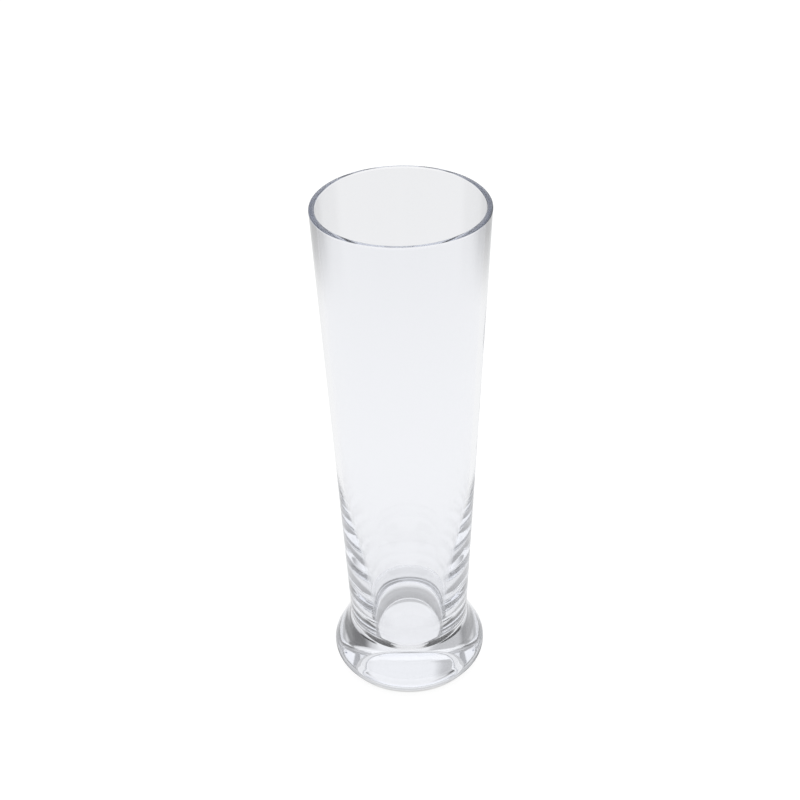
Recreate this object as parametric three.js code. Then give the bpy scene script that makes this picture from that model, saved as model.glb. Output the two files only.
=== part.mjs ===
// A tall footed collins glass in clear glass: a closed conical bowl whose rounded heel sits
// in a dished, solid foot. The two bodies meet face to face along the dish, where the hot
// glass of the real object is joined. Millimetres, +Z up, origin on the axis at the level
// of the surface that the glass stands on.
import * as THREE from 'three';

// Outside of the bowl.
const HEIGHT = 222;
const RIM_DIAMETER = 70;
const CREASE_DIAMETER = 50.8;
const CREASE_HEIGHT = 23.4;

// Wall of the bowl, measured level. It is even from the lip down to the top of the swell,
// and thickens to its full heel at the lower end of the swell.
const WALL = 2.3;
const HEEL_WALL = 8.6;
const SWELL_ABOVE_CREASE = 76.6;
const SWELL_LENGTH = 100;

// Floor inside the bowl: flat in the middle, with a rounded corner up to the wall.
const FLOOR_THICKNESS = 5;
const FLOOR_FLAT_RADIUS = 12.5;
const FLOOR_CORNER_RISE = 7;

// Foot. The bowl's heel, with a flat middle and a round side, sits in a dish of its shape.
const FOOT_DIAMETER = 66;
const FOOT_EDGE_RADIUS = 7.8;
const HEEL_FLAT_RADIUS = 12;
const GLASS_UNDER_HEEL = 6.2;
const BEARING_WIDTH = 2.7;
const UNDERSIDE_HOLLOW = 0.8;

// Steps round the axis and along each curve.
const ROUND_STEPS = 60;
const LIP_STEPS = 6;
const SWELL_STEPS = 12;
const CORNER_STEPS = 7;
const HEEL_STEPS = 8;
const EDGE_STEPS = 12;
const HOLLOW_STEPS = 5;
const QUARTER_TURN = Math.PI / 2;

const rimRadius = RIM_DIAMETER / 2;
const creaseRadius = CREASE_DIAMETER / 2;
const lipRadius = WALL / 2;
const lipHeight = HEIGHT - lipRadius;
const flare = (rimRadius - creaseRadius) / (lipHeight - CREASE_HEIGHT);
const swellTop = CREASE_HEIGHT + SWELL_ABOVE_CREASE;
const swellBottom = swellTop - SWELL_LENGTH;
const heelHeight = UNDERSIDE_HOLLOW + GLASS_UNDER_HEEL;
const floorHeight = heelHeight + FLOOR_THICKNESS;
const cornerTop = floorHeight + FLOOR_CORNER_RISE;

// Radius of the bowl's outside at a height: a straight cone from the crease to the lip.
function outsideRadius(height) {
  return creaseRadius + flare * (height - CREASE_HEIGHT);
}

// Thickness of the wall at a height: WALL above the swell, and half a cosine wave down it.
function wallThickness(height) {
  const share = THREE.MathUtils.clamp((height - swellBottom) / SWELL_LENGTH, 0, 1);
  return WALL + (HEEL_WALL - WALL) * (1 + Math.cos(Math.PI * share)) / 2;
}

function insideRadius(height) {
  return outsideRadius(height) - wallThickness(height);
}

// Points of a profile, radius and height, for equal steps of t from 0 to 1.
function curve(steps, point) {
  const points = [];
  for (let step = 0; step <= steps; step += 1) {
    points.push(point(step / steps));
  }
  return points;
}

// The joint between the bowl and the foot, from the axis out to the crease: flat in the
// middle, then a quarter of an ellipse that rises to the crease.
function jointProfile() {
  const rise = CREASE_HEIGHT - heelHeight;
  const reach = creaseRadius - HEEL_FLAT_RADIUS;
  const rounded = curve(HEEL_STEPS, (t) => new THREE.Vector2(
    HEEL_FLAT_RADIUS + reach * Math.sin(QUARTER_TURN * t),
    CREASE_HEIGHT - rise * Math.cos(QUARTER_TURN * t),
  ));
  return [new THREE.Vector2(0, heelHeight), ...rounded];
}

// The fire-polished lip: half a circle over the wall, from the outside to the inside.
function lipProfile() {
  const middle = rimRadius - lipRadius;
  return curve(LIP_STEPS, (t) => new THREE.Vector2(
    middle + lipRadius * Math.cos(Math.PI * t),
    lipHeight + lipRadius * Math.sin(Math.PI * t),
  ));
}

// The inside of the bowl, from the top of the swell down to the axis.
function insideProfile() {
  const swell = curve(SWELL_STEPS, (t) => {
    const height = THREE.MathUtils.lerp(swellTop, cornerTop, t);
    return new THREE.Vector2(insideRadius(height), height);
  });
  const corner = curve(CORNER_STEPS, (t) => {
    const height = cornerTop - FLOOR_CORNER_RISE * Math.sin(QUARTER_TURN * t);
    const reach = insideRadius(height) - FLOOR_FLAT_RADIUS;
    return new THREE.Vector2(FLOOR_FLAT_RADIUS + reach * Math.cos(QUARTER_TURN * t), height);
  });
  return [...swell, ...corner.slice(1), new THREE.Vector2(0, floorHeight)];
}

function bowlProfile() {
  return [...jointProfile(), ...lipProfile(), ...insideProfile()];
}

// The rounded edge of the foot, from the bearing ring up to the straight shoulder, which
// leaves the edge's circle on the line that touches the circle and meets the crease.
function footEdgeProfile() {
  const centreRadius = FOOT_DIAMETER / 2 - FOOT_EDGE_RADIUS;
  const across = creaseRadius - centreRadius;
  const up = CREASE_HEIGHT - FOOT_EDGE_RADIUS;
  const distance = Math.hypot(across, up);
  const shoulderAngle = Math.atan2(up, across) - Math.acos(FOOT_EDGE_RADIUS / distance);
  return curve(EDGE_STEPS, (t) => {
    const angle = THREE.MathUtils.lerp(-QUARTER_TURN, shoulderAngle, t);
    return new THREE.Vector2(
      centreRadius + FOOT_EDGE_RADIUS * Math.cos(angle),
      FOOT_EDGE_RADIUS + FOOT_EDGE_RADIUS * Math.sin(angle),
    );
  });
}

// The underside, from the axis out: a shallow dome that comes down to the inside of the flat
// ring that the glass stands on. The ring itself runs from there to the foot's edge.
function undersideProfile() {
  const bearingInside = FOOT_DIAMETER / 2 - FOOT_EDGE_RADIUS - BEARING_WIDTH;
  return curve(HOLLOW_STEPS, (t) => new THREE.Vector2(
    bearingInside * t,
    UNDERSIDE_HOLLOW * (1 - t * t),
  ));
}

function footProfile() {
  return [...undersideProfile(), ...footEdgeProfile(), ...jointProfile().reverse()];
}

function clearGlass() {
  return new THREE.MeshStandardMaterial({
    color: 0xe6eaee,
    roughness: 0.03,
    metalness: 0,
    transparent: true,
    opacity: 0.35,
  });
}

// A solid turned round the upright axis.
function turned(name, profile) {
  const geometry = new THREE.LatheGeometry(profile, ROUND_STEPS);
  geometry.rotateX(QUARTER_TURN);
  const mesh = new THREE.Mesh(geometry, clearGlass());
  mesh.name = name;
  return mesh;
}

const glass = new THREE.Group();
glass.add(turned('bowl', bowlProfile()));
glass.add(turned('foot', footProfile()));

export default glass;
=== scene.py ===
"""A tall footed collins glass in clear glass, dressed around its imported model.

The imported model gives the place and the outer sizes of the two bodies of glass, the bowl
and the foot. Each is made again here as a smooth closed surface of revolution. The two meet
along the dish in the foot, where the hot glass was joined, and light passes that joint
without being bent. Sizes are in metres, +Z up, with the origin on the axis of the glass at
the level of the surface that it stands on.
"""

import math

import bpy
import numpy as np
from mathutils import Matrix, Vector


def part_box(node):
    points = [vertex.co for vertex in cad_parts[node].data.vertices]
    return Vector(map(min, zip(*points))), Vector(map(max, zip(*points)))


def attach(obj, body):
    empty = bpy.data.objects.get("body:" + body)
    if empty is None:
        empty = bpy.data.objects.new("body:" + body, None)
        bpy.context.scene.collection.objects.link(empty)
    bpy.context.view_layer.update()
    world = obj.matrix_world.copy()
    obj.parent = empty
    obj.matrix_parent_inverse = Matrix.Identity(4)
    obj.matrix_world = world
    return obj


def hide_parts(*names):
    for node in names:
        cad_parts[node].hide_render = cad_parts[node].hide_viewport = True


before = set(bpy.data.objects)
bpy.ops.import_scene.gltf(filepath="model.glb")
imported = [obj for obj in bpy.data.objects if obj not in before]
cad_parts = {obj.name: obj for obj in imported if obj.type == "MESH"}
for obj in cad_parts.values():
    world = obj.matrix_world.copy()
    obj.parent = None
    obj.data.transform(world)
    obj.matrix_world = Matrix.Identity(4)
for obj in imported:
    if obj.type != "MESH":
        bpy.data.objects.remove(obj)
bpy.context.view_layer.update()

bl_info = {
    "name": "Footed Collins Glass",
    "version": (1, 0, 0),
    "blender": (4, 5, 0),
    "location": "View3D > Sidebar > Glass",
    "description": "Makes a tall clear glass with a solid foot, its table and its light",
    "category": "Add Mesh",
}

BOWL_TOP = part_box("bowl")[1]
FOOT_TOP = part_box("foot")[1]
RIM_RADIUS = BOWL_TOP.x
HEIGHT = BOWL_TOP.z
FOOT_RADIUS = FOOT_TOP.x
CREASE_HEIGHT = FOOT_TOP.z
BODY = "root"
JOINT = "joint"
QUARTER_TURN = math.pi / 2
SHARP_ANGLE = math.radians(25)

# Gap between the two faces of the joint, distance of a support row from the end of a straight
# stretch, slack in telling the faces of the joint, and the shortest step a profile keeps.
JOINT_GAP = 5e-6
CLOSE_ROW = 2e-5
JOINT_SLACK = 2e-5
SHORTEST_STEP = 1e-7

# Steps round the axis and along each curve. The fillet's steps are even, because its middle
# point lies on both bodies.
AROUND = 512
JOINT_STEPS = 28
FILLET_STEPS = 24
LIP_STEPS = 24
SWELL_STEPS = 80
CORNER_STEPS = 40
HOLLOW_STEPS = 40
EDGE_STEPS = 60
SHOULDER_STEPS = 24


class BowlSizes(bpy.types.PropertyGroup):
    """Sizes of the bowl that its outer box doesn't give."""

    crease_radius: bpy.props.FloatProperty(
        name="Crease radius",
        description="Outer radius of the bowl where it meets the foot",
        default=0.0254,
        unit="LENGTH",
    )
    wall: bpy.props.FloatProperty(
        name="Wall",
        description="Thickness of the wall from the lip down to the swell",
        default=0.0023,
        unit="LENGTH",
    )
    heel_wall: bpy.props.FloatProperty(
        name="Heel wall",
        description="Thickness of the wall at the lower end of the swell",
        default=0.0086,
        unit="LENGTH",
    )
    swell_above_crease: bpy.props.FloatProperty(
        name="Swell above crease",
        description="Height above the crease where the wall starts to thicken",
        default=0.0766,
        unit="LENGTH",
    )
    swell_length: bpy.props.FloatProperty(
        name="Swell length",
        description="Height over which the wall thickens to its full heel",
        default=0.1,
        unit="LENGTH",
    )
    floor_thickness: bpy.props.FloatProperty(
        name="Floor thickness",
        description="Glass between the floor of the bowl and the joint below it",
        default=0.005,
        unit="LENGTH",
    )
    floor_flat_radius: bpy.props.FloatProperty(
        name="Flat of the floor",
        description="Radius of the flat middle of the bowl's floor",
        default=0.0125,
        unit="LENGTH",
    )
    floor_corner_rise: bpy.props.FloatProperty(
        name="Floor corner rise",
        description="Height of the rounded corner between the floor and the wall",
        default=0.007,
        unit="LENGTH",
    )


class FootSizes(bpy.types.PropertyGroup):
    """Sizes of the foot that its outer box doesn't give."""

    edge_radius: bpy.props.FloatProperty(
        name="Edge radius",
        description="Radius of the foot's round edge",
        default=0.0078,
        unit="LENGTH",
    )
    heel_flat_radius: bpy.props.FloatProperty(
        name="Flat of the dish",
        description="Radius of the flat middle of the dish that holds the bowl's heel",
        default=0.012,
        unit="LENGTH",
    )
    glass_under_heel: bpy.props.FloatProperty(
        name="Glass under the heel",
        description="Thickness of the foot between the dish and the hollow below",
        default=0.0062,
        unit="LENGTH",
    )
    bearing_width: bpy.props.FloatProperty(
        name="Bearing width",
        description="Width of the flat ring that the glass stands on",
        default=0.0027,
        unit="LENGTH",
    )
    underside_hollow: bpy.props.FloatProperty(
        name="Underside hollow",
        description="Depth of the hollow inside the bearing ring",
        default=0.0008,
        unit="LENGTH",
    )
    shoulder_radius: bpy.props.FloatProperty(
        name="Shoulder radius",
        description="Radius of the slight bulge of the shoulder, between edge and crease",
        default=0.1,
        unit="LENGTH",
    )
    crease_fillet: bpy.props.FloatProperty(
        name="Crease fillet",
        description="Radius of the small hollow fillet in the crease between foot and bowl",
        default=0.007,
        unit="LENGTH",
    )


class GlassFinish(bpy.types.PropertyGroup):
    """Finish of the clear glass."""

    tint: bpy.props.FloatVectorProperty(
        name="Tint",
        description="Colour that each face of the glass passes",
        subtype="COLOR",
        size=3,
        default=(0.977, 0.982, 0.998),
        min=0.0,
        max=1.0,
    )
    cloud_tint: bpy.props.FloatVectorProperty(
        name="Cloud tint",
        description="Colour of the faint cooler clouds in the glass",
        subtype="COLOR",
        size=3,
        default=(0.97, 0.976, 0.994),
        min=0.0,
        max=1.0,
    )
    index: bpy.props.FloatProperty(
        name="Index of refraction",
        description="How strongly the glass bends light",
        default=1.52,
    )
    polish: bpy.props.FloatProperty(
        name="Polish roughness",
        description="Largest roughness of the fire-polished surface",
        default=0.012,
    )
    absorption: bpy.props.FloatProperty(
        name="Absorption",
        description="How strongly the glass takes up light along its way, for each metre",
        default=1.35,
    )
    body_tint: bpy.props.FloatVectorProperty(
        name="Body tint",
        description="Colour that the glass lets through where it is thick",
        subtype="COLOR",
        size=3,
        default=(0.0, 0.1, 0.38),
        min=0.0,
        max=1.0,
    )


class Studio(bpy.types.PropertyGroup):
    """Table, light and camera."""

    table_light: bpy.props.FloatProperty(
        name="Table brightness",
        description="Brightness of the table as the glass shows it",
        default=0.755,
    )
    table_shade: bpy.props.FloatProperty(
        name="Table shade",
        description="Share of light that the table's matt surface sends back, shadows and all",
        default=0.15,
    )
    room_light: bpy.props.FloatProperty(
        name="Room brightness",
        description="Brightness of the room low down, where it is darkest",
        default=0.232,
    )
    wall_light: bpy.props.FloatProperty(
        name="Wall brightness",
        description="Brightness of the room half way up",
        default=0.76,
    )
    horizon_light: bpy.props.FloatProperty(
        name="Horizon brightness",
        description="Brightness of the room near the horizon, as seen straight through the glass",
        default=0.85,
    )
    ceiling_light: bpy.props.FloatProperty(
        name="Ceiling brightness",
        description="Brightness of the room high up",
        default=1.12,
    )
    camera_back: bpy.props.FloatProperty(
        name="Camera distance",
        description="Level distance from the axis of the glass to the camera",
        default=0.56,
        unit="LENGTH",
    )
    camera_height: bpy.props.FloatProperty(
        name="Camera height",
        description="Height of the camera above the table",
        default=0.50128,
        unit="LENGTH",
    )
    camera_pitch: bpy.props.FloatProperty(
        name="Camera pitch",
        description="Angle that the camera looks down",
        default=0.581043,
        subtype="ANGLE",
    )
    camera_yaw: bpy.props.FloatProperty(
        name="Camera yaw",
        description="Angle that the camera is turned to the right",
        default=-0.003356,
        subtype="ANGLE",
    )
    camera_roll: bpy.props.FloatProperty(
        name="Camera roll",
        description="Angle that the camera leans to its left",
        default=-0.022441,
        subtype="ANGLE",
    )
    lens: bpy.props.FloatProperty(
        name="Lens",
        description="Focal length of the camera's lens in millimetres",
        default=74.038,
    )


def steps(start, end, count):
    """Count + 1 values from start to end, both included."""
    return np.linspace(start, end, count + 1)


def quarter(count):
    """Count + 1 angles of a quarter turn."""
    return steps(0, QUARTER_TURN, count)


def straight(start, end):
    """Both ends of a straight stretch, each with a close neighbour inside it.

    The close rows keep the smooth normals of the curves beside the stretch out of it.
    """
    inward = math.copysign(CLOSE_ROW, end - start)
    return np.array([start, start + inward, end - inward, end])


def join(*stretches):
    """One profile of rows (radius, height) from stretches, without repeated points."""
    rows = np.vstack([np.column_stack(stretch) for stretch in stretches])
    step = np.linalg.norm(np.diff(rows, axis=0), axis=1)
    return rows[np.concatenate([[True], step > SHORTEST_STEP])]


def heel_height(foot):
    """Height of the flat of the joint between the bowl and the foot."""
    return foot.underside_hollow + foot.glass_under_heel


def edge_centre(foot):
    """Centre of the foot's round edge, as radius and height."""
    return np.array([FOOT_RADIUS - foot.edge_radius, foot.edge_radius])


def crease_point(bowl):
    """The crease of the solids, as radius and height."""
    return np.array([bowl.crease_radius, CREASE_HEIGHT])


def shoulder_arc(bowl, foot):
    """Centre of the shoulder's shallow arc, and the angle where it leaves the round edge.

    The arc passes through the crease and touches the edge's circle, so its centre, that of
    the edge and the crease make a triangle whose three sides are known.
    """
    centre = edge_centre(foot)
    across, up = crease_point(bowl) - centre
    side, apart = math.hypot(across, up), foot.shoulder_radius - foot.edge_radius
    share = (side**2 + apart**2 - foot.shoulder_radius**2) / (2 * side * apart)
    angle = math.atan2(up, across) + math.acos(share) - math.pi
    return centre - apart * np.array([math.cos(angle), math.sin(angle)]), angle


def cone_lean(bowl):
    """Angle that the outside of the bowl leans out from upright."""
    return math.atan((RIM_RADIUS - bowl.crease_radius) / (HEIGHT - bowl.wall / 2 - CREASE_HEIGHT))


def crease_fillet(bowl, foot):
    """Fillet points from the bowl's cone down to the foot's shoulder, and their middle index.

    The circle touches the cone and the shoulder's arc. Its centre lies out from the cone by
    its own radius, and from the arc's centre by the sum of both radii.
    """
    fillet = foot.crease_fillet
    arc_centre, _ = shoulder_arc(bowl, foot)
    lean = cone_lean(bowl)
    rising = np.array([math.sin(lean), math.cos(lean)])
    outward = np.array([math.cos(lean), -math.sin(lean)])
    foot_point = crease_point(bowl) + fillet * outward
    apart = foot_point - arc_centre
    along = apart @ rising
    climb = math.sqrt(along**2 - apart @ apart + (foot.shoulder_radius + fillet) ** 2) - along
    centre = foot_point + climb * rising
    across, up = centre - arc_centre
    angle = steps(-lean, math.atan2(up, across), FILLET_STEPS)
    radius, height = centre[0] - fillet * np.cos(angle), centre[1] - fillet * np.sin(angle)
    return radius, height, FILLET_STEPS // 2


def joint_stretch(bowl, foot, gap):
    """The joint from the axis to the crease: a flat, then a quarter ellipse up.

    The gap draws the whole stretch up and inwards, so that the bowl's face of the joint is
    just apart from the foot's.
    """
    fillet_radius, fillet_height, middle = crease_fillet(bowl, foot)
    turn = quarter(JOINT_STEPS)
    reach = fillet_radius[middle] - foot.heel_flat_radius
    rise = fillet_height[middle] - heel_height(foot)
    radius = np.concatenate([[0.0], foot.heel_flat_radius + reach * np.sin(turn)])
    height = np.concatenate([[heel_height(foot)], fillet_height[middle] - rise * np.cos(turn)])
    return radius * (1 - gap / bowl.crease_radius), height + gap


def outside_radius(height, bowl):
    """Radius of the bowl's cone: linear from the crease up to the start of the lip."""
    cone_top = HEIGHT - bowl.wall / 2
    share = (height - CREASE_HEIGHT) / (cone_top - CREASE_HEIGHT)
    return bowl.crease_radius + (RIM_RADIUS - bowl.crease_radius) * share


def inside_radius(height, bowl):
    """Cone radius less the wall, which follows half a cosine wave down the swell."""
    swell_bottom = CREASE_HEIGHT + bowl.swell_above_crease - bowl.swell_length
    share = np.clip((height - swell_bottom) / bowl.swell_length, 0, 1)
    extra = (bowl.heel_wall - bowl.wall) * (1 + np.cos(math.pi * share)) / 2
    return outside_radius(height, bowl) - bowl.wall - extra


def bowl_profile(bowl, foot):
    """Joint, fillet, outer cone, lip, inner wall, rounded corner and floor.

    The lip is half a circle as wide as the wall, turned by the lean of the cone. The corner
    falls with the sine of its angle, and its reach beyond the flat goes with the cosine.
    """
    lip = bowl.wall / 2
    fillet_radius, fillet_height, middle = crease_fillet(bowl, foot)
    lean = cone_lean(bowl)
    lip_rise = lip * math.sin(lean)
    cone_height = straight(fillet_height[0], HEIGHT - lip - lip_rise)
    lip_turn = steps(-lean, math.pi - lean, LIP_STEPS)[1:-1]
    swell_top = CREASE_HEIGHT + bowl.swell_above_crease
    floor = heel_height(foot) + bowl.floor_thickness
    corner_top = floor + bowl.floor_corner_rise
    even_height = straight(HEIGHT - lip + lip_rise, swell_top)[:-1]
    wall_height = np.concatenate([even_height, steps(swell_top, corner_top, SWELL_STEPS)])
    corner_turn = quarter(CORNER_STEPS)
    corner_height = corner_top - bowl.floor_corner_rise * np.sin(corner_turn)
    reach = inside_radius(corner_height, bowl) - bowl.floor_flat_radius
    flat = straight(bowl.floor_flat_radius, 0.0)[[0, 1, 3]]
    return join(
        joint_stretch(bowl, foot, JOINT_GAP),
        (fillet_radius[middle - 1 :: -1], fillet_height[middle - 1 :: -1]),
        (outside_radius(cone_height, bowl), cone_height),
        (RIM_RADIUS - lip + lip * np.cos(lip_turn), HEIGHT - lip + lip * np.sin(lip_turn)),
        (inside_radius(wall_height, bowl), wall_height),
        (bowl.floor_flat_radius + reach * np.cos(corner_turn), corner_height),
        (flat, np.full(flat.size, floor)),
    )


def foot_profile(bowl, foot):
    """Hollow, bearing ring, round edge, curved shoulder, fillet and the joint back down.

    The hollow is a parabola: its height falls with the square of the share of the ring's
    inner radius. The edge and the shoulder are arcs of circles that touch each other.
    """
    centre = edge_centre(foot)[0]
    ring = centre - foot.bearing_width
    share = steps(0, 1, HOLLOW_STEPS)
    arc_centre, leaving = shoulder_arc(bowl, foot)
    turn = steps(-QUARTER_TURN, leaving, EDGE_STEPS)
    fillet_radius, fillet_height, middle = crease_fillet(bowl, foot)
    across, up = fillet_radius[-1] - arc_centre[0], fillet_height[-1] - arc_centre[1]
    shoulder = steps(leaving, math.atan2(up, across), SHOULDER_STEPS)
    joint_radius, joint_height = joint_stretch(bowl, foot, 0.0)
    return join(
        (ring * share, foot.underside_hollow * (1 - share**2)),
        (straight(ring, centre), np.zeros(4)),
        (centre + foot.edge_radius * np.cos(turn), foot.edge_radius * (1 + np.sin(turn))),
        (
            arc_centre[0] + foot.shoulder_radius * np.cos(shoulder),
            arc_centre[1] + foot.shoulder_radius * np.sin(shoulder),
        ),
        (fillet_radius[:middle:-1], fillet_height[:middle:-1]),
        (joint_radius[::-1], joint_height[::-1]),
    )


def turned_mesh(name, profile, around):
    """Surface of revolution: point (i, j) is (r_i cos a_j, r_i sin a_j, z_i).

    The angle a_j is j full turns divided by the count around. The profile starts and ends on
    the axis, where each end is one point shared by a fan of triangles, so the mesh is closed.
    """
    ring = profile[1:-1]
    angle = steps(0, 2 * math.pi, around)[:-1]
    radius, height = ring[:, :1], ring[:, 1:]
    rings = np.stack(
        [
            radius * np.cos(angle),
            radius * np.sin(angle),
            np.broadcast_to(height, (len(ring), around)),
        ],
        axis=-1,
    )
    ends = np.array([[0, 0, profile[0, 1]], [0, 0, profile[-1, 1]]])
    points = np.vstack([rings.reshape(-1, 3), ends])
    index = np.arange(len(ring) * around).reshape(len(ring), around)
    across = np.roll(index, -1, axis=1)
    quads = np.stack([index[:-1], across[:-1], across[1:], index[1:]], axis=-1)
    first, last = len(points) - 2, len(points) - 1
    start_fan = np.column_stack([np.full(around, first), across[0], index[0]])
    end_fan = np.column_stack([index[-1], across[-1], np.full(around, last)])
    faces = quads.reshape(-1, 4).tolist() + start_fan.tolist() + end_fan.tolist()
    mesh = bpy.data.meshes.new(name)
    mesh.from_pydata(points.tolist(), [], faces)
    mesh.validate()
    return mesh


def add_turned(name, profile, around, joint_rows):
    """Object of a surface of revolution, whose faces along the joint are marked."""
    mesh = turned_mesh(name, profile, around)
    middle = np.zeros(len(mesh.polygons) * 3)
    mesh.polygons.foreach_get("center", middle)
    radius = np.hypot(middle[0::3], middle[1::3])
    height = middle[2::3]
    on_joint = np.zeros(len(height), dtype=np.float32)
    for start, end in zip(joint_rows[:-1], joint_rows[1:]):
        middle_radius, middle_height = (start + end) / 2
        half_width, half_height = np.abs(end - start) / 2 + JOINT_SLACK
        near = np.abs(radius - middle_radius) < half_width
        near &= np.abs(height - middle_height) < half_height
        on_joint[near] = 1
    mesh.attributes.new(JOINT, "FLOAT", "FACE").data.foreach_set("value", on_joint)
    mesh.shade_smooth()
    mesh.set_sharp_from_angle(angle=SHARP_ANGLE)
    piece = bpy.data.objects.new(name, mesh)
    bpy.context.scene.collection.objects.link(piece)
    return piece


def node(tree, kind, **values):
    """A new shader node with attributes set by name."""
    made = tree.nodes.new(kind)
    for key, value in values.items():
        setattr(made, key, value)
    return made


def noise(tree, place, scale, detail):
    """Noise on the piece's own coordinates, with about scale repeats in a metre."""
    made = node(tree, "ShaderNodeTexNoise")
    made.inputs["Scale"].default_value = scale
    made.inputs["Detail"].default_value = detail
    tree.links.new(place.outputs["Object"], made.inputs["Vector"])
    return made.outputs["Fac"]


# Repeats of the clouds, polish marks and ripples in a metre, the levels of noise between
# which the polish marks grow, and the strength and height of the ripples.
CLOUD_SCALE, MARK_SCALE, RIPPLE_SCALE = 22.0, 160.0, 60.0
MARK_LEVELS = 0.5, 0.8
RIPPLE_STRENGTH = 0.02
RIPPLE_HEIGHT = 0.001


def glass_material(finish):
    """Clear glass: refraction, faint cool clouds, polish marks and small ripples.

    The glass takes up a little light along its way. Its faces on the fused joint let light
    pass unbent.
    """
    made = bpy.data.materials.new("blown_glass")
    made.use_nodes = True
    tree = made.node_tree
    tree.nodes.clear()
    out = node(tree, "ShaderNodeOutputMaterial")
    shader = node(tree, "ShaderNodeBsdfPrincipled")
    shader.inputs["Transmission Weight"].default_value = 1.0
    shader.inputs["IOR"].default_value = finish.index
    place = node(tree, "ShaderNodeTexCoord")
    tint = node(tree, "ShaderNodeMix", data_type="RGBA")
    tint.inputs["A"].default_value = (*finish.tint, 1.0)
    tint.inputs["B"].default_value = (*finish.cloud_tint, 1.0)
    tree.links.new(noise(tree, place, CLOUD_SCALE, 2.0), tint.inputs["Factor"])
    tree.links.new(tint.outputs["Result"], shader.inputs["Base Color"])
    polish = node(tree, "ShaderNodeMapRange")
    polish.inputs["From Min"].default_value = MARK_LEVELS[0]
    polish.inputs["From Max"].default_value = MARK_LEVELS[1]
    polish.inputs["To Min"].default_value = 0.0
    polish.inputs["To Max"].default_value = finish.polish
    tree.links.new(noise(tree, place, MARK_SCALE, 4.0), polish.inputs["Value"])
    tree.links.new(polish.outputs["Result"], shader.inputs["Roughness"])
    bump = node(tree, "ShaderNodeBump")
    bump.inputs["Strength"].default_value = RIPPLE_STRENGTH
    bump.inputs["Distance"].default_value = RIPPLE_HEIGHT
    tree.links.new(noise(tree, place, RIPPLE_SCALE, 1.0), bump.inputs["Height"])
    tree.links.new(bump.outputs["Normal"], shader.inputs["Normal"])
    joint = node(tree, "ShaderNodeAttribute", attribute_name=JOINT)
    fused = node(tree, "ShaderNodeBsdfTransparent")
    surface = node(tree, "ShaderNodeMixShader")
    tree.links.new(joint.outputs["Fac"], surface.inputs["Fac"])
    tree.links.new(shader.outputs["BSDF"], surface.inputs[1])
    tree.links.new(fused.outputs["BSDF"], surface.inputs[2])
    tree.links.new(surface.outputs["Shader"], out.inputs["Surface"])
    body = node(tree, "ShaderNodeVolumeAbsorption")
    body.inputs["Color"].default_value = (*finish.body_tint, 1.0)
    body.inputs["Density"].default_value = finish.absorption
    tree.links.new(body.outputs["Volume"], out.inputs["Volume"])
    return made


def dress(piece, cad_node, finish):
    """Gives a piece of glass the one glass material and ties it to the frame."""
    piece.data.materials.append(bpy.data.materials.get("blown_glass") or glass_material(finish))
    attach(piece, BODY)
    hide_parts(cad_node)


class GLASS_OT_bowl(bpy.types.Operator):
    """Makes the bowl as one smooth closed surface of revolution"""

    bl_idname = "glass.bowl"
    bl_label = "Bowl"

    def execute(self, context):
        scene = context.scene
        profile = bowl_profile(scene.glass_bowl, scene.glass_foot)
        joint = np.column_stack(joint_stretch(scene.glass_bowl, scene.glass_foot, JOINT_GAP))
        piece = add_turned("glass_bowl", profile, AROUND, joint)
        dress(piece, "bowl", scene.glass_finish)
        return {"FINISHED"}


class GLASS_OT_foot(bpy.types.Operator):
    """Makes the foot as one smooth closed surface of revolution"""

    bl_idname = "glass.foot"
    bl_label = "Foot"

    def execute(self, context):
        scene = context.scene
        profile = foot_profile(scene.glass_bowl, scene.glass_foot)
        joint = np.column_stack(joint_stretch(scene.glass_bowl, scene.glass_foot, 0.0))
        piece = add_turned("glass_foot", profile, AROUND, joint)
        dress(piece, "foot", scene.glass_finish)
        return {"FINISHED"}


SENSOR_WIDTH = 36
NEAREST = 0.01


def add_camera(studio):
    """The camera, from its distance, height, yaw, pitch and roll."""
    pitch, yaw, roll = studio.camera_pitch, studio.camera_yaw, studio.camera_roll
    ahead = Vector(
        (
            math.sin(yaw) * math.cos(pitch),
            math.cos(yaw) * math.cos(pitch),
            -math.sin(pitch),
        )
    )
    level = Vector((math.cos(yaw), -math.sin(yaw), 0))
    upright = level.cross(ahead)
    right = level * math.cos(roll) + upright * math.sin(roll)
    up = upright * math.cos(roll) - level * math.sin(roll)
    lens = bpy.data.cameras.new("camera")
    lens.sensor_width = SENSOR_WIDTH
    lens.lens = studio.lens
    lens.clip_start = NEAREST
    camera = bpy.data.objects.new("camera", lens)
    place = Vector((0, -studio.camera_back, studio.camera_height))
    turn = Matrix((right, up, -ahead)).transposed().to_4x4()
    camera.matrix_world = Matrix.Translation(place) @ turn
    bpy.context.scene.collection.objects.link(camera)
    bpy.context.scene.camera = camera


def number(tree, kind, *values, **settings):
    """A math node fed with numbers or sockets, and its result."""
    made = node(tree, "ShaderNodeMath", operation=kind, **settings)
    for slot, value in zip(made.inputs, values):
        if isinstance(value, (int, float)):
            slot.default_value = value
        else:
            tree.links.new(value, slot)
    return made.outputs["Value"]


def ramp(tree, value, low, high, start=0.0, end=1.0):
    """Smooth step of a value from low to high, mapped onto start to end."""
    made = node(tree, "ShaderNodeMapRange", interpolation_type="SMOOTHSTEP")
    made.inputs["From Min"].default_value = low
    made.inputs["From Max"].default_value = high
    tree.links.new(value, made.inputs["Value"])
    for name, level in (("To Min", start), ("To Max", end)):
        if isinstance(level, (int, float)):
            made.inputs[name].default_value = level
        else:
            tree.links.new(level, made.inputs[name])
    return made.outputs["Result"]


def blend(tree, share, first, second):
    """first + share * (second - first), where each may be a number or a socket."""
    made = node(tree, "ShaderNodeMix")
    for name, value in (("Factor", share), ("A", first), ("B", second)):
        if isinstance(value, (int, float)):
            made.inputs[name].default_value = value
        else:
            tree.links.new(value, made.inputs[name])
    return made.outputs["Result"]


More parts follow.
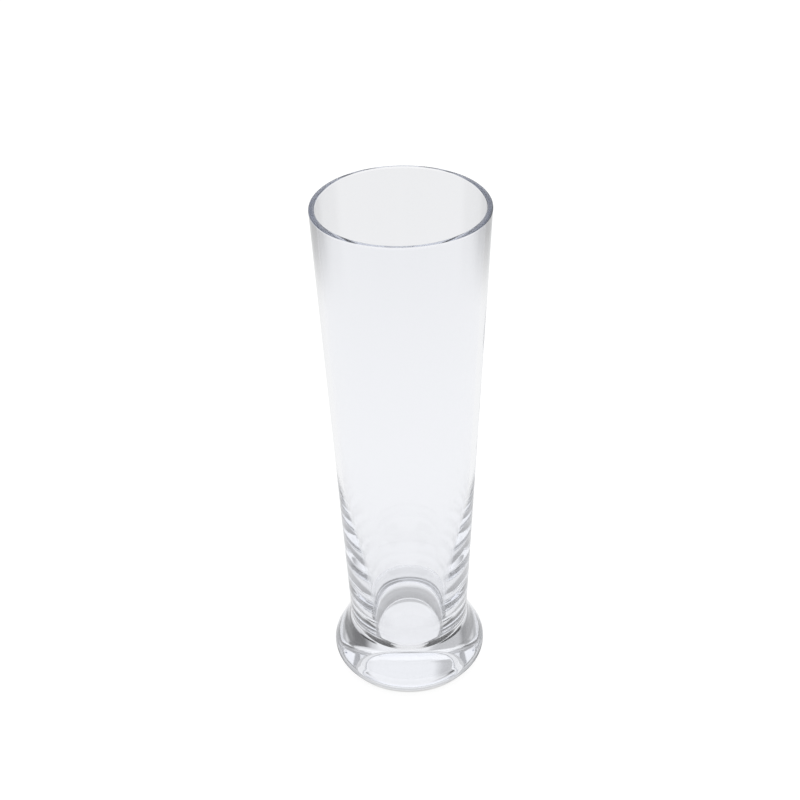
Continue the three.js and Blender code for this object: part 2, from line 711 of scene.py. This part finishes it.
def sight_rays(tree):
    """Two sockets: camera rays, and rays of sight that have met glass or gloss."""
    path = node(tree, "ShaderNodeLightPath")
    through = number(
        tree, "MAXIMUM", path.outputs["Is Glossy Ray"], path.outputs["Is Transmission Ray"]
    )
    return path.outputs["Is Camera Ray"], through


# Tones of the table as the glass shows it: of the far back, of the far back left and right,
# a painted pool of light under the foot, and the foot's painted shadow at the back, at the front
# sides and in the front middle. The camera sees a painted contact shadow where the foot stands.
FAR_SHARE = 0.9
FAR_TONE = 0.32
PAINTED_LIGHT_POOL = 0.84
BACK_SHADOW, FRONT_SHADOW, MIDDLE_SHADOW = 0.37, 0.03, 0.25
STANDING_SHADOW_TONE = 0.55

# Where those tones start and end, in metres backwards, sideways or from the axis. For the front
# middle it is the sideways part of the squared distance from the axis.
BACKWARDS = 0.1, 0.45
ASIDE = 0.08, 0.18
FAR_OUT = 0.3, 0.42
BEHIND = 0.0, 0.15
LIGHT_POOL_REACH = 0.02, 0.028
FRONT_HALF = -0.004, 0.006
FRONT_MIDDLE = 0.15, 0.4
STANDING_SHADOW_EDGE = 0.0286, 0.0296

# The foot's shadow: its inner edge, how far that edge lies further out at the back sides and
# further in at the front, its outer end, how much shorter it is in the front middle, and the
# fade of that end.
SHADOW_START = 0.0185, 0.0215
BACK_SIDE_START, FRONT_START = -0.009, 0.008
SHADOW_END, SHORTER_END = 0.0382, -0.018
END_FADE = -0.0012, 0.0012

# How slanting a ray has to be to meet that shadow, at the back, at the front and near the
# axis at the front, with the fade of that limit. A ray from straight above has a slant of 0.
NEAR_AXIS = 0.018, 0.026
BACK_SLANT, FRONT_SLANT, NEAR_SLANT = 0.24, 0.15, 0.06
SLANT_FADE = -0.03, 0.04


def open_table_tone(tree, studio, x, y, radius):
    """Tone of the table outside the foot's shadow.

    It dims a little backwards, is darker far to the back left and back right, and has a
    painted pool of light under the foot, brighter than the open table.
    """
    back = ramp(tree, y, *BACKWARDS, 1.0, FAR_SHARE)
    near_table = number(tree, "MULTIPLY", back, studio.table_light)
    aside = ramp(tree, number(tree, "ABSOLUTE", x), *ASIDE)
    behind = number(tree, "MULTIPLY", ramp(tree, radius, *FAR_OUT), ramp(tree, y, *BEHIND))
    far = number(tree, "MULTIPLY", aside, behind)
    open_table = blend(tree, far, near_table, FAR_TONE)
    # Painted light: the table under the foot is brighter, as if lit through the glass foot.
    light_pool_share = ramp(tree, radius, *LIGHT_POOL_REACH, 1.0, 0.0)
    return blend(tree, light_pool_share, open_table, PAINTED_LIGHT_POOL)


def foot_shadow(tree, y, radius, sideways):
    """Share and tone of the shadow under the round edge of the foot.

    Shallow rays meet it and steep ones don't. It reaches furthest in at the front, and is
    deepest at the front left and front right.
    """
    front = ramp(tree, y, *FRONT_HALF, 1.0, 0.0)
    back_start = number(tree, "MULTIPLY", sideways, BACK_SIDE_START)
    start = number(tree, "ADD", radius, blend(tree, front, back_start, FRONT_START))
    inside = ramp(tree, start, *SHADOW_START)
    middle = number(tree, "MULTIPLY", front, ramp(tree, sideways, *FRONT_MIDDLE, 1.0, 0.0))
    end = number(tree, "MULTIPLY_ADD", middle, SHORTER_END, SHADOW_END)
    outside = ramp(tree, number(tree, "SUBTRACT", radius, end), *END_FADE, 1.0, 0.0)
    slant = node(tree, "ShaderNodeLayerWeight").outputs["Facing"]
    near = number(tree, "MULTIPLY", front, ramp(tree, radius, *NEAR_AXIS, 1.0, 0.0))
    limit = blend(tree, near, blend(tree, front, BACK_SLANT, FRONT_SLANT), NEAR_SLANT)
    met = ramp(tree, number(tree, "SUBTRACT", slant, limit), *SLANT_FADE)
    share = number(tree, "MULTIPLY", number(tree, "MULTIPLY", inside, outside), met)
    front_tone = blend(tree, middle, FRONT_SHADOW, MIDDLE_SHADOW)
    return share, blend(tree, front, BACK_SHADOW, front_tone)


def table_tone(tree, studio):
    """Tone of the table as the glass shows it, and the share of the painted contact shadow under
    the foot.
    """
    place = node(tree, "ShaderNodeTexCoord")
    parts = node(tree, "ShaderNodeSeparateXYZ")
    tree.links.new(place.outputs["Object"], parts.inputs["Vector"])
    x, y = parts.outputs["X"], parts.outputs["Y"]
    x_squared = number(tree, "MULTIPLY", x, x)
    squared = number(tree, "ADD", x_squared, number(tree, "MULTIPLY", y, y))
    radius = number(tree, "SQRT", squared)
    sideways = number(tree, "DIVIDE", x_squared, number(tree, "MAXIMUM", squared, 1e-9))
    share, shadow = foot_shadow(tree, y, radius, sideways)
    tone = blend(tree, share, open_table_tone(tree, studio, x, y, radius), shadow)
    # The second share is a painted contact shadow where the foot stands, which the camera sees.
    return tone, ramp(tree, radius, *STANDING_SHADOW_EDGE, 1.0, 0.0)


# Tone that the lamp and the room give a pure white matt surface where the table lies open.
LIT_WHITE = 0.62


def table_material(studio):
    """White table: a faint matt part takes the cast shadow, and the glowing rest carries painted
    shadows and painted light of the foot.
    """
    made = bpy.data.materials.new("table")
    made.use_nodes = True
    tree = made.node_tree
    tree.nodes.clear()
    out = node(tree, "ShaderNodeOutputMaterial")
    matt = node(tree, "ShaderNodeBsdfDiffuse")
    matt.inputs["Color"].default_value = (studio.table_shade,) * 3 + (1.0,)
    pale = node(tree, "ShaderNodeEmission")
    both = node(tree, "ShaderNodeAddShader")
    direct, through = sight_rays(tree)
    tone, standing_shadow = table_tone(tree, studio)
    seen = number(tree, "MULTIPLY", through, tone)
    open_table = 1.0 - studio.table_shade * LIT_WHITE
    # Camera rays see white with the painted contact shadow; glass and gloss rays see the table
    # tone with its painted shadow and light.
    strength = blend(tree, direct, seen, blend(tree, standing_shadow, open_table, STANDING_SHADOW_TONE))
    tree.links.new(strength, pale.inputs["Strength"])
    tree.links.new(matt.outputs["BSDF"], both.inputs[0])
    tree.links.new(pale.outputs["Emission"], both.inputs[1])
    tree.links.new(both.outputs["Shader"], out.inputs["Surface"])
    return made


TABLE_RADIUS = 8.0
TABLE_CORNERS = 64
TABLE_HEIGHT = -0.0001


def add_table(studio):
    """A wide table top just under the bearing ring: a polygon with its corners on a circle."""
    angle = steps(0, 2 * math.pi, TABLE_CORNERS)[:-1]
    height = np.full(TABLE_CORNERS, TABLE_HEIGHT)
    rim = np.column_stack([TABLE_RADIUS * np.cos(angle), TABLE_RADIUS * np.sin(angle), height])
    mesh = bpy.data.meshes.new("table")
    mesh.from_pydata(rim.tolist(), [], [list(range(TABLE_CORNERS))])
    mesh.materials.append(table_material(studio))
    table = bpy.data.objects.new("table", mesh)
    bpy.context.scene.collection.objects.link(table)


LAMP_PLACE = (0.0, 0.2, 1.6)
LAMP_SIDE = 1.4
LAMP_POWER = 12.0


def add_lamp():
    """A soft square lamp overhead, facing the foot, that the glass itself doesn't show."""
    data = bpy.data.lights.new("top_light", "AREA")
    data.shape = "SQUARE"
    data.size = LAMP_SIDE
    data.energy = LAMP_POWER
    lamp = bpy.data.objects.new("top_light", data)
    lamp.location = LAMP_PLACE
    lamp.rotation_mode = "QUATERNION"
    lamp.rotation_quaternion = (-Vector(LAMP_PLACE)).to_track_quat("-Z", "Y")
    lamp.visible_transmission = False
    lamp.visible_glossy = False
    bpy.context.scene.collection.objects.link(lamp)


# Elevations, in degrees, between which the room turns pale, the ceiling starts, and the
# horizon as seen straight through the glass ends.
WALL_RISE = 12, 35
CEILING_RISE = 43, 51
HORIZON_RISE = 12, 20

# Panels of the room: azimuth, half width and side fade, then elevation, half height and fade,
# all in degrees, and brightness. A later panel lies over an earlier one.
ROOM_PANELS = (
    (354.0, 24.0, 12.0, 29.0, 12.0, 5.0, 0.44),
    (186.0, 24.0, 12.0, 29.0, 12.0, 5.0, 0.44),
    (88.0, 46.0, 12.0, 14.0, 16.0, 8.0, 0.656),
    (255.0, 22.0, 12.0, 10.0, 8.0, 8.0, 0.4),
    (270.0, 64.0, 10.0, 36.0, 9.0, 6.0, 1.08),
    (34.0, 22.0, 10.0, 41.2, 1.2, 2.4, 0.192),
    (140.0, 22.0, 14.0, 41.3, 1.0, 3.0, 0.36),
    (88.0, 16.0, 7.0, 43.5, 9.0, 6.0, 0.992),
    (117.0, 9.0, 8.0, 42.0, 4.0, 3.0, 0.624),
    (61.0, 4.0, 5.0, 38.6, 0.8, 2.0, 0.024),
    (120.0, 8.0, 5.0, 36.0, 2.2, 2.5, 0.04),
)


def room_panel(tree, level_way, rise, panel):
    """Share of a soft-edged panel of the room in a direction.

    The direction comes as its level part of length one and as its elevation in degrees.
    """
    azimuth, half_width, side_fade, elevation, half_height, rise_fade = panel
    turn = math.radians(azimuth)
    aim = node(tree, "ShaderNodeVectorMath", operation="DOT_PRODUCT")
    aim.inputs[1].default_value = (math.cos(turn), math.sin(turn), 0.0)
    tree.links.new(level_way, aim.inputs[0])
    fades = math.cos(math.radians(half_width + side_fade)), math.cos(math.radians(half_width))
    across = ramp(tree, aim.outputs["Value"], *fades)
    off = number(tree, "ABSOLUTE", number(tree, "SUBTRACT", rise, elevation))
    along = ramp(tree, off, half_height, half_height + rise_fade, 1.0, 0.0)
    return number(tree, "MULTIPLY", across, along)


def set_world(studio):
    """White to the camera. To all else a room, dim low down and pale high up, with panels.

    A ray that no face of the glass has mirrored meets a pale horizon instead of the dim room.
    """
    scene = bpy.context.scene
    scene.world = bpy.data.worlds.new("room")
    scene.world.use_nodes = True
    tree = scene.world.node_tree
    tree.nodes.clear()
    out = node(tree, "ShaderNodeOutputWorld")
    sky = node(tree, "ShaderNodeBackground")
    sky.inputs["Color"].default_value = (1.0, 1.0, 1.0, 1.0)
    place = node(tree, "ShaderNodeTexCoord")
    parts = node(tree, "ShaderNodeSeparateXYZ")
    tree.links.new(place.outputs["Generated"], parts.inputs["Vector"])
    flat = node(tree, "ShaderNodeVectorMath", operation="MULTIPLY")
    flat.inputs[1].default_value = (1.0, 1.0, 0.0)
    level_way = node(tree, "ShaderNodeVectorMath", operation="NORMALIZE")
    tree.links.new(place.outputs["Generated"], flat.inputs[0])
    tree.links.new(flat.outputs["Vector"], level_way.inputs[0])
    rise = number(tree, "DEGREES", number(tree, "ARCSINE", parts.outputs["Z"]))
    tone = ramp(tree, rise, *WALL_RISE, studio.room_light, studio.wall_light)
    tone = blend(tree, ramp(tree, rise, *CEILING_RISE), tone, studio.ceiling_light)
    for *panel, level in ROOM_PANELS:
        share = room_panel(tree, level_way.outputs["Vector"], rise, panel)
        tone = blend(tree, share, tone, level)
    path = node(tree, "ShaderNodeLightPath")
    unmirrored = number(tree, "LESS_THAN", path.outputs["Glossy Depth"], 0.5)
    low = ramp(tree, rise, *HORIZON_RISE, 1.0, 0.0)
    horizon = number(tree, "MULTIPLY", unmirrored, low)
    tone = blend(tree, horizon, tone, studio.horizon_light)
    strength = blend(tree, path.outputs["Is Camera Ray"], tone, 1.0)
    tree.links.new(strength, sky.inputs["Strength"])
    tree.links.new(sky.outputs["Background"], out.inputs["Surface"])


# Light that is trapped in the wall of the glass meets its faces very often before it leaves.
FACES_MET = 160
JOINTS_PASSED = 64


class GLASS_OT_studio(bpy.types.Operator):
    """Sets the camera, the table, the soft light and the pale room"""

    bl_idname = "glass.studio"
    bl_label = "Studio"

    def execute(self, context):
        scene = context.scene
        studio = scene.glass_studio
        add_camera(studio)
        add_table(studio)
        add_lamp()
        set_world(studio)
        scene.view_settings.view_transform = "Standard"
        scene.cycles.max_bounces = FACES_MET
        scene.cycles.min_light_bounces = FACES_MET
        scene.cycles.transmission_bounces = FACES_MET
        scene.cycles.glossy_bounces = FACES_MET
        scene.cycles.transparent_max_bounces = JOINTS_PASSED
        return {"FINISHED"}


class GLASS_PT_panel(bpy.types.Panel):
    """Sizes, finish and studio of the glass, with the buttons that make each"""

    bl_idname = "GLASS_PT_panel"
    bl_label = "Footed Collins Glass"
    bl_space_type = "VIEW_3D"
    bl_region_type = "UI"
    bl_category = "Glass"

    def draw(self, context):
        layout = self.layout
        scene = context.scene
        for group in (scene.glass_bowl, scene.glass_foot, scene.glass_finish, scene.glass_studio):
            box = layout.box()
            for key in group.bl_rna.properties.keys():
                if key not in {"rna_type", "name"}:
                    box.prop(group, key)
        for kind in (GLASS_OT_bowl, GLASS_OT_foot, GLASS_OT_studio):
            layout.operator(kind.bl_idname)


SETTINGS = {
    "glass_bowl": BowlSizes,
    "glass_foot": FootSizes,
    "glass_finish": GlassFinish,
    "glass_studio": Studio,
}
CLASSES = (*SETTINGS.values(), GLASS_OT_bowl, GLASS_OT_foot, GLASS_OT_studio, GLASS_PT_panel)


def register():
    for kind in CLASSES:
        bpy.utils.register_class(kind)
    for name, kind in SETTINGS.items():
        setattr(bpy.types.Scene, name, bpy.props.PointerProperty(type=kind))


def unregister():
    for name in SETTINGS:
        delattr(bpy.types.Scene, name)
    for kind in reversed(CLASSES):
        bpy.utils.unregister_class(kind)


def main():
    """Makes the whole scene."""
    register()
    bpy.ops.glass.studio()
    bpy.ops.glass.bowl()
    bpy.ops.glass.foot()


if __name__ == "__main__":
    main()
